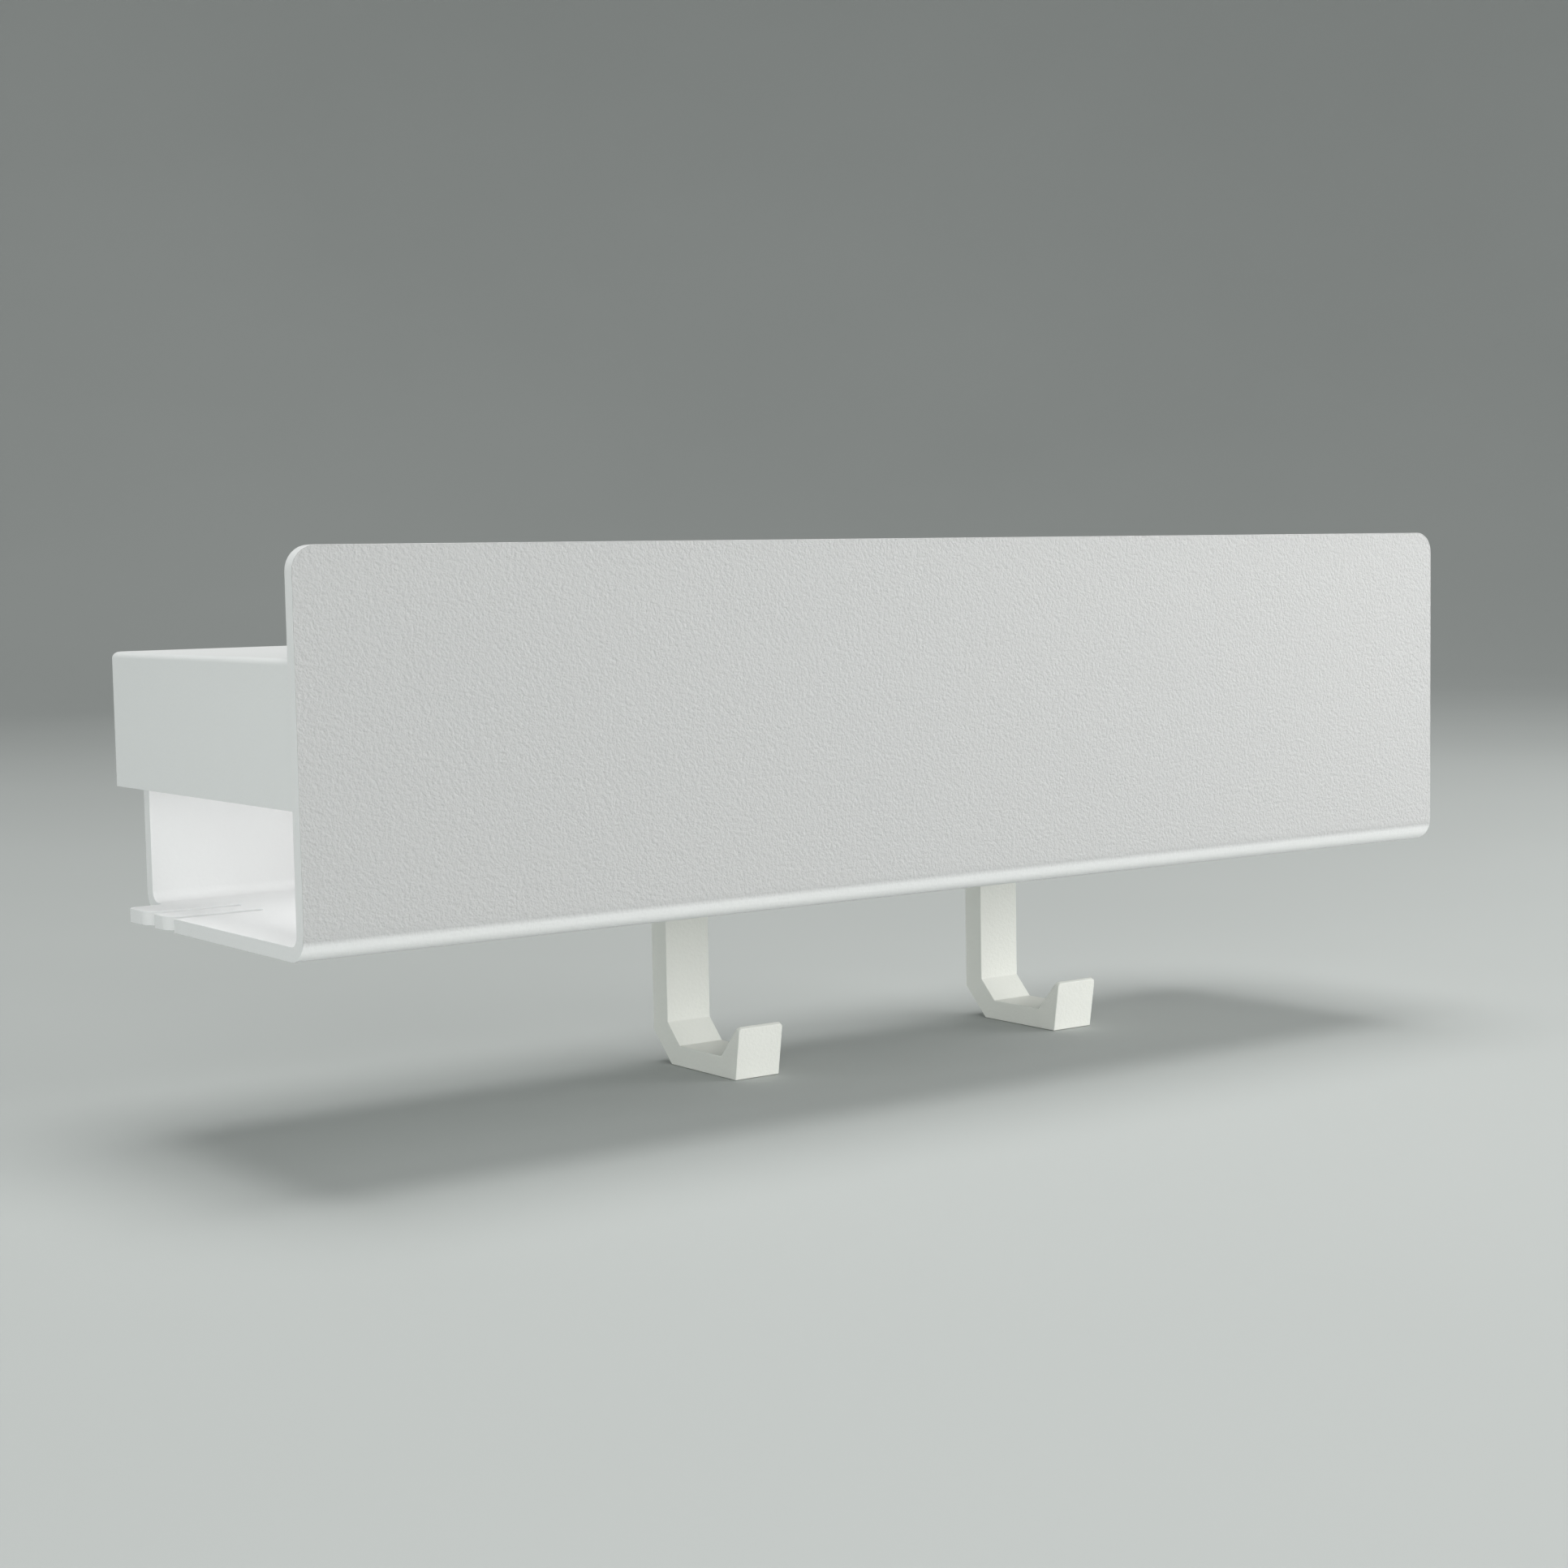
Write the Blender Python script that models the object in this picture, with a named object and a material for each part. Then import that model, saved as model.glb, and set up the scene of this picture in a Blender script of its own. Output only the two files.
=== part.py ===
"""Wall hook rack: a folded steel channel with a lift-off cover shelf and two J hooks.

Metres, +Z up, +X along the wall, the wall at Y = 0 and the rack in front of it at -Y.
The origin is on the rear face of the back plate, where the rack sits against the wall.
"""

import math

import bmesh
import bpy
from mathutils import Vector

# Folded channel: one sheet that makes the front panel, the floor and the back plate.
BODY_WIDTH = 0.322
BODY_DEPTH = 0.096
PANEL_HEIGHT = 0.080
BACK_HEIGHT = 0.055
SHEET = 0.003
BEND_RADIUS = 0.0055
PANEL_CORNER_RADIUS = 0.005
ORIGIN_HEIGHT = 0.030

# Rear corners of the floor: two open cable slots, two rounded fingers and a bend relief.
BACK_INSET = 0.0083
CABLE_SLOT_WIDTH = 0.0029
CABLE_SLOT_LENGTH = 0.0208
FRONT_SLOT_Y = -0.0341
FINGER_WIDTH = 0.008
BEND_RELIEF_Y = -0.0087
FINGER_RADIUS = 0.004
FINGER_REAR_RADIUS = 0.002
FINGER_EDGE_RADIUS = 0.0006
BEND_RELIEF_RADIUS = 0.0012

# Keyholes in the back plate, for screws of 4 mm.
KEYHOLE_X = 0.100
KEYHOLE_TOP = 0.035
KEYHOLE_DROP = 0.009
KEYHOLE_NECK_RADIUS = 0.0023
KEYHOLE_HEAD_RADIUS = 0.0048

# Cover shelf: a shallow tray turned upside down, with deep ends and short front and rear flanges.
COVER_TOP = 0.0585
COVER_SHEET = 0.0012
COVER_END_DEPTH = 0.0293
COVER_FLANGE_DEPTH = 0.012
COVER_END_INSET = 0.0005
COVER_REAR_GAP = 0.0043
COVER_BEND_RADIUS = 0.0014
CORNER_RELIEF = 0.0008

# J hooks: flat bars that pass through the floor and are screwed to the back plate.
HOOK_X = {"hook_left": -0.0158, "hook_right": 0.0862}
HOOK_WIDTH = 0.0128
HOOK_BAR = 0.0064
HOOK_TOP = 0.038
HOOK_DROP = 0.0486
HOOK_FOOT = 0.0051
HOOK_OUTER_CHAMFER = 0.0079
HOOK_INNER_CHAMFER = 0.0053
HOOK_THROAT = 0.0233
HOOK_LIP_RISE = 0.008
HOOK_LIP_RUN = 0.0071
HOOK_LIP_EDGE = 0.0009
HOOK_LIP_LEAN = 0.002
HOOK_LIP_FALL = 0.00045

# Countersunk hook screws, driven from the rear of the back plate.
SCREW_HEIGHTS = {"lower": 0.015, "upper": 0.030}
SCREW_RADIUS = 0.002
SCREW_LENGTH = 0.008
SCREW_HEAD_RADIUS = 0.0039
SCREW_HEAD_DEPTH = 0.0019
SCREW_RECESS = 0.0002
SOCKET_RADIUS = 0.0014
SOCKET_DEPTH = 0.0012

# Angle brackets under the cover, each with a silicone pad on its ledge.
BRACKET_X = 0.125
BRACKET_WIDTH = 0.020
BRACKET_LEDGE = 0.012
BRACKET_DROP = 0.010
BRACKET_SHEET = 0.0015
PAD_LENGTH = 0.016
PAD_DEPTH = 0.010
PAD_THICKNESS = 0.0012

GAP = 0.0003
OVERCUT = 0.004
ROUND_STEPS = 8
CIRCLE_STEPS = 24
SOCKET_SIDES = 6
SHARP_ANGLE = math.radians(35)

FLOOR_Z = -ORIGIN_HEIGHT
PANEL_INNER_Y = -BODY_DEPTH + SHEET
HALF_WIDTH = BODY_WIDTH / 2
HOOK_REAR_Y = -SHEET - GAP
HOOK_FRONT_Y = HOOK_REAR_Y - HOOK_BAR
COVER_FRONT_Y = PANEL_INNER_Y + GAP
FLANGE_LOW_Z = FLOOR_Z + COVER_TOP - COVER_FLANGE_DEPTH
PAD_TOP_Z = FLANGE_LOW_Z - GAP
LEDGE_Z = PAD_TOP_Z - PAD_THICKNESS - GAP


def clear_scene():
    for old in list(bpy.data.objects):
        bpy.data.objects.remove(old, do_unlink=True)


def make_material(name, color, roughness, metallic):
    material = bpy.data.materials.new(name)
    material.use_nodes = True
    shader = material.node_tree.nodes["Principled BSDF"]
    shader.inputs["Base Color"].default_value = (*color, 1.0)
    shader.inputs["Roughness"].default_value = roughness
    shader.inputs["Metallic"].default_value = metallic
    return material


def arc(centre, radius, start, end, steps=ROUND_STEPS):
    """Points on an arc from one angle to another, in degrees."""
    angles = [math.radians(start + (end - start) * step / steps) for step in range(steps + 1)]
    return [(centre[0] + radius * math.cos(a), centre[1] + radius * math.sin(a)) for a in angles]


def rectangle(low_a, high_a, low_b, high_b):
    return [(low_a, low_b), (high_a, low_b), (high_a, high_b), (low_a, high_b)]


def on_axis(axis, a, b, distance):
    """A point of an outline, placed at a distance along the axis that the outline is swept on."""
    if axis == "X":
        return Vector((distance, a, b))
    if axis == "Y":
        return Vector((a, distance, b))
    return Vector((a, b, distance))


def add_prism(bm, outline, axis, start, end):
    """A closed solid: a flat outline swept along one axis."""
    near = [bm.verts.new(on_axis(axis, a, b, start)) for a, b in outline]
    far = [bm.verts.new(on_axis(axis, a, b, end)) for a, b in outline]
    bm.faces.new(near)
    bm.faces.new(far)
    for index in range(len(outline)):
        after = (index + 1) % len(outline)
        bm.faces.new((near[index], near[after], far[after], far[index]))


def add_turned(bm, stations, x, z):
    """A closed round solid on an axis along Y, from its stations of (y, radius)."""
    rings = []
    for y, radius in stations:
        circle = arc((x, z), radius, 0, 360, CIRCLE_STEPS)[:-1]
        rings.append([bm.verts.new((a, y, b)) for a, b in circle])
    bm.faces.new(rings[0])
    bm.faces.new(rings[-1])
    for ring, other in zip(rings, rings[1:]):
        for index in range(CIRCLE_STEPS):
            after = (index + 1) % CIRCLE_STEPS
            bm.faces.new((ring[index], ring[after], other[after], other[index]))


def round_edges(bm, edges, radius, steps):
    """Round some edges. The faces' normals come first, because the bevel is measured from them."""
    bmesh.ops.recalc_face_normals(bm, faces=bm.faces)
    bmesh.ops.bevel(
        bm, geom=edges, offset=radius, offset_type="OFFSET", segments=steps, profile=0.5, affect="EDGES"
    )


def make_object(name, bm, material=None):
    bmesh.ops.recalc_face_normals(bm, faces=bm.faces)
    mesh = bpy.data.meshes.new(name)
    bm.to_mesh(mesh)
    bm.free()
    thing = bpy.data.objects.new(name, mesh)
    bpy.context.scene.collection.objects.link(thing)
    if material:
        mesh.materials.append(material)
    return thing


def cut(thing, cutter, title):
    """Take the cutter's solids out of a piece and keep the cutter as a wire guide."""
    cutter.hide_render = True
    cutter.display_type = "WIRE"
    boolean = thing.modifiers.new(title, "BOOLEAN")
    boolean.operation = "DIFFERENCE"
    boolean.solver = "EXACT"
    boolean.object = cutter


def channel_profile():
    """Section of the folded sheet, looking along X: panel, floor and back plate."""
    outer = BEND_RADIUS
    inner = BEND_RADIUS - SHEET
    front_bend = (-BODY_DEPTH + outer, FLOOR_Z + outer)
    rear_bend = (-outer, FLOOR_Z + outer)
    panel_top = FLOOR_Z + PANEL_HEIGHT
    back_top = FLOOR_Z + BACK_HEIGHT
    points = [(-BODY_DEPTH, panel_top)]
    points += arc(front_bend, outer, 180, 270)
    points += arc(rear_bend, outer, 270, 360)
    points += [(0, back_top), (-SHEET, back_top)]
    points += arc(rear_bend, inner, 360, 270)
    points += arc(front_bend, inner, 270, 180)
    points += [(PANEL_INNER_Y, panel_top)]
    return points


def end_outline(side):
    """Plan of the metal taken off one end of the floor: slots, finger tips and bend relief."""
    tip = HALF_WIDTH
    outside = HALF_WIDTH + OVERCUT
    slot_round = tip - CABLE_SLOT_LENGTH + CABLE_SLOT_WIDTH / 2
    half_slot = CABLE_SLOT_WIDTH / 2
    finger_front = FRONT_SLOT_Y + CABLE_SLOT_WIDTH
    finger_rear = finger_front + FINGER_WIDTH
    rear_finger_front = finger_rear + CABLE_SLOT_WIDTH
    notch_x = tip - BACK_INSET + BEND_RELIEF_RADIUS
    notch_y = BEND_RELIEF_Y + BEND_RELIEF_RADIUS

    def tip_corner(y, direction, radius):
        """Round corner of a finger: 1 where the outline meets the tip, -1 where it leaves it."""
        start, end = (-90, 0) if direction > 0 else (0, 90)
        return arc((tip - radius, y + direction * radius), radius, start, end)

    points = [(outside, FRONT_SLOT_Y)]
    points += arc((slot_round, FRONT_SLOT_Y + half_slot), half_slot, 270, 90)
    points += tip_corner(finger_front, 1, FINGER_RADIUS)
    points += tip_corner(finger_rear, -1, FINGER_EDGE_RADIUS)
    points += arc((slot_round, finger_rear + half_slot), half_slot, 270, 90)
    points += tip_corner(rear_finger_front, 1, FINGER_RADIUS)
    points += tip_corner(BEND_RELIEF_Y, -1, FINGER_REAR_RADIUS)
    points += arc((notch_x, notch_y), BEND_RELIEF_RADIUS, 270, 180)
    points += [(tip - BACK_INSET, OVERCUT), (outside, OVERCUT)]
    return [(side * x, y) for x, y in points]


def keyhole_outline(x):
    """Round entry below, narrow neck above."""
    neck_top = FLOOR_Z + KEYHOLE_TOP
    entry = neck_top - KEYHOLE_DROP
    half_opening = math.degrees(math.asin(KEYHOLE_NECK_RADIUS / KEYHOLE_HEAD_RADIUS))
    points = arc((x, neck_top), KEYHOLE_NECK_RADIUS, 0, 180)
    points += arc((x, entry), KEYHOLE_HEAD_RADIUS, 90 + half_opening, 450 - half_opening, CIRCLE_STEPS)
    return points


def screw_places():
    return [(x, FLOOR_Z + height) for x in HOOK_X.values() for height in SCREW_HEIGHTS.values()]


def screw_stations(clearance):
    """Countersunk head, then shank, from the rear of the back plate forwards."""
    head_rear = -SCREW_RECESS
    cone_end = head_rear - SCREW_HEAD_DEPTH
    tip = head_rear - SCREW_LENGTH
    return [
        (head_rear, SCREW_HEAD_RADIUS + clearance),
        (cone_end, SCREW_RADIUS + clearance),
        (tip - clearance, SCREW_RADIUS + clearance),
    ]


def channel_body(material):
    """Front panel, floor and back plate, folded from one sheet."""
    bm = bmesh.new()
    add_prism(bm, channel_profile(), "X", -HALF_WIDTH, HALF_WIDTH)
    panel_top = FLOOR_Z + PANEL_HEIGHT
    corners = [
        edge for edge in bm.edges
        if all(abs(v.co.z - panel_top) < GAP for v in edge.verts)
        and abs(edge.verts[0].co.x - edge.verts[1].co.x) < GAP
    ]
    round_edges(bm, corners, PANEL_CORNER_RADIUS, ROUND_STEPS)
    body = make_object("channel_body", bm, material)

    cutters = bmesh.new()
    above_panel = FLOOR_Z + PANEL_HEIGHT + OVERCUT
    for side in (-1, 1):
        add_prism(cutters, end_outline(side), "Z", FLOOR_Z - OVERCUT, above_panel)
        add_prism(cutters, keyhole_outline(side * KEYHOLE_X), "Y", -SHEET - OVERCUT, OVERCUT)
    for x in HOOK_X.values():
        half_slot = HOOK_WIDTH / 2 + GAP
        slot = rectangle(x - half_slot, x + half_slot, HOOK_FRONT_Y - GAP, -SHEET + GAP)
        add_prism(cutters, slot, "Z", FLOOR_Z - OVERCUT, FLOOR_Z + BEND_RADIUS + GAP)
    for x, z in screw_places():
        countersink = [(OVERCUT, SCREW_HEAD_RADIUS + GAP)] + screw_stations(GAP)
        add_turned(cutters, countersink, x, z)
    cut(body, make_object("channel_body_cutter", cutters), "Openings")
    return body


def cover_shelf(material):
    """Top plate with two deep ends and two short flanges, folded from one thin sheet."""
    top = FLOOR_Z + COVER_TOP
    low = top - COVER_END_DEPTH
    half = HALF_WIDTH - COVER_END_INSET
    front = COVER_FRONT_Y
    rear = -COVER_REAR_GAP

    shell = bmesh.new()
    add_prism(shell, rectangle(-half, half, front, rear), "Z", low, top)
    round_top(shell, top, COVER_BEND_RADIUS)
    cover = make_object("cover_shelf", shell, material)

    sheet = COVER_SHEET
    hollow = bmesh.new()
    inside = rectangle(-half + sheet, half - sheet, front + sheet, rear - sheet)
    add_prism(hollow, inside, "Z", low - OVERCUT, top - sheet)
    round_top(hollow, top - sheet, COVER_BEND_RADIUS - sheet)
    cut(cover, make_object("cover_hollow_cutter", hollow), "Hollow")

    # Each flange is cut by a box that starts outside it and ends one sheet behind it.
    behind = 2 * sheet
    flange_cuts = ((front - OVERCUT, front + behind), (rear - behind, rear + OVERCUT))
    flange_ends = bmesh.new()
    for near, far in flange_cuts:
        below = rectangle(-half + sheet, half - sheet, near, far)
        add_prism(flange_ends, below, "Z", low - OVERCUT, FLANGE_LOW_Z)
    cut(cover, make_object("cover_flange_cutter", flange_ends), "Short flanges")

    reliefs = bmesh.new()
    relief_top = top - COVER_BEND_RADIUS
    relief_end = half - sheet - CORNER_RELIEF
    for side in (-1, 1):
        edges = sorted((side * relief_end, side * (half - sheet)))
        for near, far in flange_cuts:
            add_prism(reliefs, rectangle(*edges, near, far), "Z", low - OVERCUT, relief_top)
    cut(cover, make_object("cover_relief_cutter", reliefs), "Corner reliefs")
    return cover


def round_top(bm, top, radius):
    """Round the four edges around the top face of a box."""
    rim = [edge for edge in bm.edges if all(abs(v.co.z - top) < GAP / 2 for v in edge.verts)]
    round_edges(bm, rim, radius, ROUND_STEPS // 2)


def hook_outline():
    """Side view of the bent bar: stem, chamfered bend, foot and wedge-shaped lip."""
    low = FLOOR_Z - HOOK_DROP
    foot = low + HOOK_FOOT
    lip_root = HOOK_FRONT_Y - HOOK_THROAT
    lip_top = lip_root - HOOK_LIP_RUN
    lip_front = lip_top - HOOK_LIP_EDGE
    return [
        (HOOK_REAR_Y, FLOOR_Z + HOOK_TOP),
        (HOOK_FRONT_Y, FLOOR_Z + HOOK_TOP),
        (HOOK_FRONT_Y, foot + HOOK_INNER_CHAMFER),
        (HOOK_FRONT_Y - HOOK_INNER_CHAMFER, foot),
        (lip_root, foot),
        (lip_top, foot + HOOK_LIP_RISE),
        (lip_front, foot + HOOK_LIP_RISE - HOOK_LIP_FALL),
        (lip_front + HOOK_LIP_LEAN, low),
        (HOOK_REAR_Y - HOOK_OUTER_CHAMFER, low),
        (HOOK_REAR_Y, low + HOOK_OUTER_CHAMFER),
    ]


def hook(name, material):
    bm = bmesh.new()
    x = HOOK_X[name]
    add_prism(bm, hook_outline(), "X", x - HOOK_WIDTH / 2, x + HOOK_WIDTH / 2)
    bar = make_object(name, bm, material)

    holes = bmesh.new()
    tip = -SCREW_RECESS - SCREW_LENGTH - GAP
    for hole_x, z in screw_places():
        if hole_x == x:
            stations = [(HOOK_REAR_Y + OVERCUT, SCREW_RADIUS + GAP), (tip, SCREW_RADIUS + GAP)]
            add_turned(holes, stations, x, z)
    cut(bar, make_object(name + "_hole_cutter", holes), "Screw holes")
    return bar


def hook_screw(name, x, z, material):
    """Countersunk screw with a hexagon socket in its head."""
    bm = bmesh.new()
    add_turned(bm, screw_stations(0), x, z)
    screw = make_object(name, bm, material)
    screw.data.shade_smooth()
    screw.data.set_sharp_from_angle(angle=SHARP_ANGLE)

    socket = bmesh.new()
    hexagon = arc((x, z), SOCKET_RADIUS, 0, 360, SOCKET_SIDES)[:-1]
    add_prism(socket, hexagon, "Y", -SCREW_RECESS - SOCKET_DEPTH, OVERCUT)
    cut(screw, make_object(name + "_socket_cutter", socket), "Socket")
    return screw


def rest_bracket(place, x, wall_y, inward, material):
    """Folded angle with its upright against a plate and its ledge pointing into the channel."""
    thick = BRACKET_SHEET
    near = wall_y + inward * GAP
    outline = [
        (near, LEDGE_Z),
        (near + inward * BRACKET_LEDGE, LEDGE_Z),
        (near + inward * BRACKET_LEDGE, LEDGE_Z - thick),
        (near + inward * thick, LEDGE_Z - thick),
        (near + inward * thick, LEDGE_Z - BRACKET_DROP),
        (near, LEDGE_Z - BRACKET_DROP),
    ]
    bm = bmesh.new()
    add_prism(bm, outline, "X", x - BRACKET_WIDTH / 2, x + BRACKET_WIDTH / 2)
    return make_object("rest_bracket_" + place, bm, material)


def rest_pad(place, x, wall_y, inward, material):
    """Thin pad on the ledge, which the edge of the cover's flange stands on."""
    near = wall_y + inward * 2 * GAP
    sides = sorted((near, near + inward * PAD_DEPTH))
    bm = bmesh.new()
    outline = rectangle(x - PAD_LENGTH / 2, x + PAD_LENGTH / 2, *sides)
    add_prism(bm, outline, "Z", PAD_TOP_Z - PAD_THICKNESS, PAD_TOP_Z)
    return make_object("rest_pad_" + place, bm, material)


def main():
    clear_scene()
    coat = make_material("powder_coat", (0.80, 0.81, 0.80), 0.45, 0.0)
    zinc = make_material("zinc_plated_steel", (0.62, 0.63, 0.65), 0.35, 1.0)
    silicone = make_material("silicone", (0.55, 0.56, 0.56), 0.6, 0.0)

    channel_body(coat)
    cover_shelf(coat)
    for name in HOOK_X:
        hook(name, coat)
        for level, height in SCREW_HEIGHTS.items():
            hook_screw(name + "_screw_" + level, HOOK_X[name], FLOOR_Z + height, zinc)
    for row, wall_y, inward in (("front", PANEL_INNER_Y, 1), ("rear", -SHEET, -1)):
        for end, side in (("left", -1), ("right", 1)):
            place = row + "_" + end
            rest_bracket(place, side * BRACKET_X, wall_y, inward, coat)
            rest_pad(place, side * BRACKET_X, wall_y, inward, silicone)


main()
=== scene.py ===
# %% [markdown]
# # Wall hook rack
# A folded steel channel that hangs on a wall, with a lift-off cover shelf over a cable tray and
# two J hooks below it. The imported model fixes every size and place. This script gives each piece
# its fine shape and finish, and sets a camera, lights and a floor.
# Everything is in metres: +X runs along the wall, the wall is at Y = 0, and +Z is up.

# %% Load the frame
import math

import bmesh
import bpy
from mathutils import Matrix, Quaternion, Vector


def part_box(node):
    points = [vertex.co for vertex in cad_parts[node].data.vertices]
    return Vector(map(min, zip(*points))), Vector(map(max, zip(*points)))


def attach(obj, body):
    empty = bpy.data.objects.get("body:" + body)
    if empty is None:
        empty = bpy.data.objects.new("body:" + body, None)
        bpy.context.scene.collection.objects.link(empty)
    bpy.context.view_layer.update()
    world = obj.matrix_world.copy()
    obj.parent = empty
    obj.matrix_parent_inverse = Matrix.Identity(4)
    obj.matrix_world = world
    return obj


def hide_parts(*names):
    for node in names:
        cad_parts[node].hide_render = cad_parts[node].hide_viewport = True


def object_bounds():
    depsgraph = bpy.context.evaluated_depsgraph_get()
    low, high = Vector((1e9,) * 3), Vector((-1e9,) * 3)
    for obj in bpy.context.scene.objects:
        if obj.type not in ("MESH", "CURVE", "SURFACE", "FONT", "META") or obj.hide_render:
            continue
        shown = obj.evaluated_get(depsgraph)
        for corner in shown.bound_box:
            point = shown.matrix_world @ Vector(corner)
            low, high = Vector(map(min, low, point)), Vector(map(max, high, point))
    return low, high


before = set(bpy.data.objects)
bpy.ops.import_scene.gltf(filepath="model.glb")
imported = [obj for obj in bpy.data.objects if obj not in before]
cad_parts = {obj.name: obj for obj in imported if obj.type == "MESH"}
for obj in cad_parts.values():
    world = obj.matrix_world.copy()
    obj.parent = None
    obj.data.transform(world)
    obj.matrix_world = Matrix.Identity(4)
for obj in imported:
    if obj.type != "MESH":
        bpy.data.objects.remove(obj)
cad_low, cad_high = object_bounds()
MM = 0.001
print("nodes", sorted(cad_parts))
print("size in mm", [round(v / MM, 1) for v in cad_high - cad_low])

# %% [markdown]
# ## Camera
# The rack is seen from its left front and from a little above, with a short telephoto lens.
# A camera looks along its own -Z, so a quaternion from the view direction aims it, and a small
# turn about that direction gives the slight lean of the horizon.

# %% Camera
CAMERA_PLACE = Vector((-0.37810, -0.55394, 0.04389))
CAMERA_AZIMUTH = math.radians(-35.8345)
CAMERA_ELEVATION = math.radians(4.6780)
CAMERA_ROLL = math.radians(-1.0452)
CAMERA_LENS = 60.541


def towards(azimuth, elevation):
    """A unit vector from the rack to a viewer or a lamp: azimuth 0 is in front, 90 is at +X."""
    flat = math.cos(elevation)
    return Vector((math.sin(azimuth) * flat, -math.cos(azimuth) * flat, math.sin(elevation)))


camera_data = bpy.data.cameras.new("camera")
camera_data.lens = CAMERA_LENS
camera_data.sensor_width = 36.0
camera_data.clip_start = 0.01
camera_data.clip_end = 50.0
camera = bpy.data.objects.new("camera", camera_data)
bpy.context.scene.collection.objects.link(camera)
look = -towards(CAMERA_AZIMUTH, CAMERA_ELEVATION)
camera.rotation_mode = "QUATERNION"
camera.rotation_quaternion = Quaternion(look, -CAMERA_ROLL) @ look.to_track_quat("-Z", "Y")
camera.location = CAMERA_PLACE
bpy.context.scene.camera = camera
print("camera is", round((CAMERA_PLACE - (cad_low + cad_high) / 2).length, 3), "m from the rack")

# %% [markdown]
# ## Studio
# The floor is one round pale sheet whose rim curves up a few metres away, so no edge or horizon
# line shows from any side. It is a lathe shape: a profile of radius and height, turned about Z.
# A plane would show its edge, and a very large one would still leave a horizon.

# %% Floor
FLOOR_Z = cad_low.z - 0.0001
FLOOR_FLAT_RADIUS = 1.9
FLOOR_RIM = 1.6
FLOOR_SIDES = 96
FLOOR_STEPS = 16


def lathe(name, profile, sides):
    """Turns a list of (radius, height) about Z; a first radius of 0 makes a closed centre."""
    mesh = bpy.data.meshes.new(name)
    shape = bmesh.new()
    rings = []
    for radius, height in profile:
        turns = [math.tau * i / sides for i in range(sides)] if radius else [0.0]
        rings.append(
            [shape.verts.new((radius * math.cos(a), radius * math.sin(a), height)) for a in turns]
        )
    for inner, outer in zip(rings, rings[1:]):
        for i in range(sides):
            j = (i + 1) % sides
            if len(inner) == 1:
                shape.faces.new((inner[0], outer[i], outer[j]))
            else:
                shape.faces.new((inner[i], outer[i], outer[j], inner[j]))
    shape.to_mesh(mesh)
    shape.free()
    mesh.shade_smooth()
    made = bpy.data.objects.new(name, mesh)
    bpy.context.scene.collection.objects.link(made)
    return made


rim = [math.pi / 2 * i / FLOOR_STEPS for i in range(FLOOR_STEPS + 1)]
floor_profile = [(0.0, FLOOR_Z)] + [
    (FLOOR_FLAT_RADIUS + FLOOR_RIM * math.sin(a), FLOOR_Z + FLOOR_RIM * (1 - math.cos(a)))
    for a in rim
]
floor = lathe("floor", floor_profile, FLOOR_SIDES)
print("floor at", round(FLOOR_Z, 4), "with", len(floor.data.polygons), "faces")

# %% [markdown]
# Five large round area lamps stand round and above the rack, as softboxes do in a studio, and a
# pale world fills the shadows. Each lamp is a row of angles and sizes, aimed at the middle of the
# rack, so a lamp is moved by changing one number. The cover keeps most of their light out of the
# cable tray, so a small lamp under the cover lights it.

# %% Lamps and world
STUDIO_CENTRE = (cad_low + cad_high) / 2
LAMPS = [
    # name, azimuth and elevation in degrees, distance and size in metres, watts, colour
    ("key_lamp", 60.0, 12.0, 1.3, 0.9, 11.4, (1.0, 0.995, 0.985)),
    ("top_lamp", 0.0, 88.0, 2.4, 1.8, 37.5, (1.0, 1.0, 0.99)),
    ("front_lamp", -35.0, 8.0, 1.3, 0.9, 5.7, (0.985, 1.0, 0.99)),
    ("right_lamp", 25.0, 8.0, 1.3, 0.9, 4.2, (1.0, 1.0, 1.0)),
    ("left_lamp", -104.0, 9.0, 1.3, 0.9, 2.55, (0.94, 1.0, 0.985)),
]
WORLD_COLOUR = (0.95, 1.0, 0.99)
WORLD_STRENGTH = 0.22
TRAY_LAMP_PLACE = (-0.108, -0.054, 0.020)
TRAY_LAMP_SIZE = (0.095, 0.05)
TRAY_LAMP_POWER = 0.025


def area_lamp(name, azimuth, elevation, distance, size, power, colour):
    data = bpy.data.lights.new(name, "AREA")
    data.shape = "DISK"
    data.size = size
    data.energy = power
    data.color = colour
    lamp = bpy.data.objects.new(name, data)
    bpy.context.scene.collection.objects.link(lamp)
    out = towards(math.radians(azimuth), math.radians(elevation))
    lamp.location = STUDIO_CENTRE + out * distance
    lamp.rotation_mode = "QUATERNION"
    lamp.rotation_quaternion = (-out).to_track_quat("-Z", "Y")
    return lamp


for lamp_row in LAMPS:
    area_lamp(*lamp_row)
# The small lamp in the tray does what a reflector card would do, and the camera doesn't see it.
tray_data = bpy.data.lights.new("tray_lamp", "AREA")
tray_data.shape = "RECTANGLE"
tray_data.size, tray_data.size_y = TRAY_LAMP_SIZE
tray_data.energy = TRAY_LAMP_POWER
tray_lamp = bpy.data.objects.new("tray_lamp", tray_data)
tray_lamp.location = TRAY_LAMP_PLACE
tray_lamp.visible_camera = False
bpy.context.scene.collection.objects.link(tray_lamp)

world = bpy.data.worlds.new("studio")
world.use_nodes = True
sky = world.node_tree.nodes["Background"]
sky.inputs["Color"].default_value = (*WORLD_COLOUR, 1.0)
sky.inputs["Strength"].default_value = WORLD_STRENGTH
bpy.context.scene.world = world
bpy.context.scene.view_settings.view_transform = "Standard"
print("lamps", [row[0] for row in LAMPS])

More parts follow.
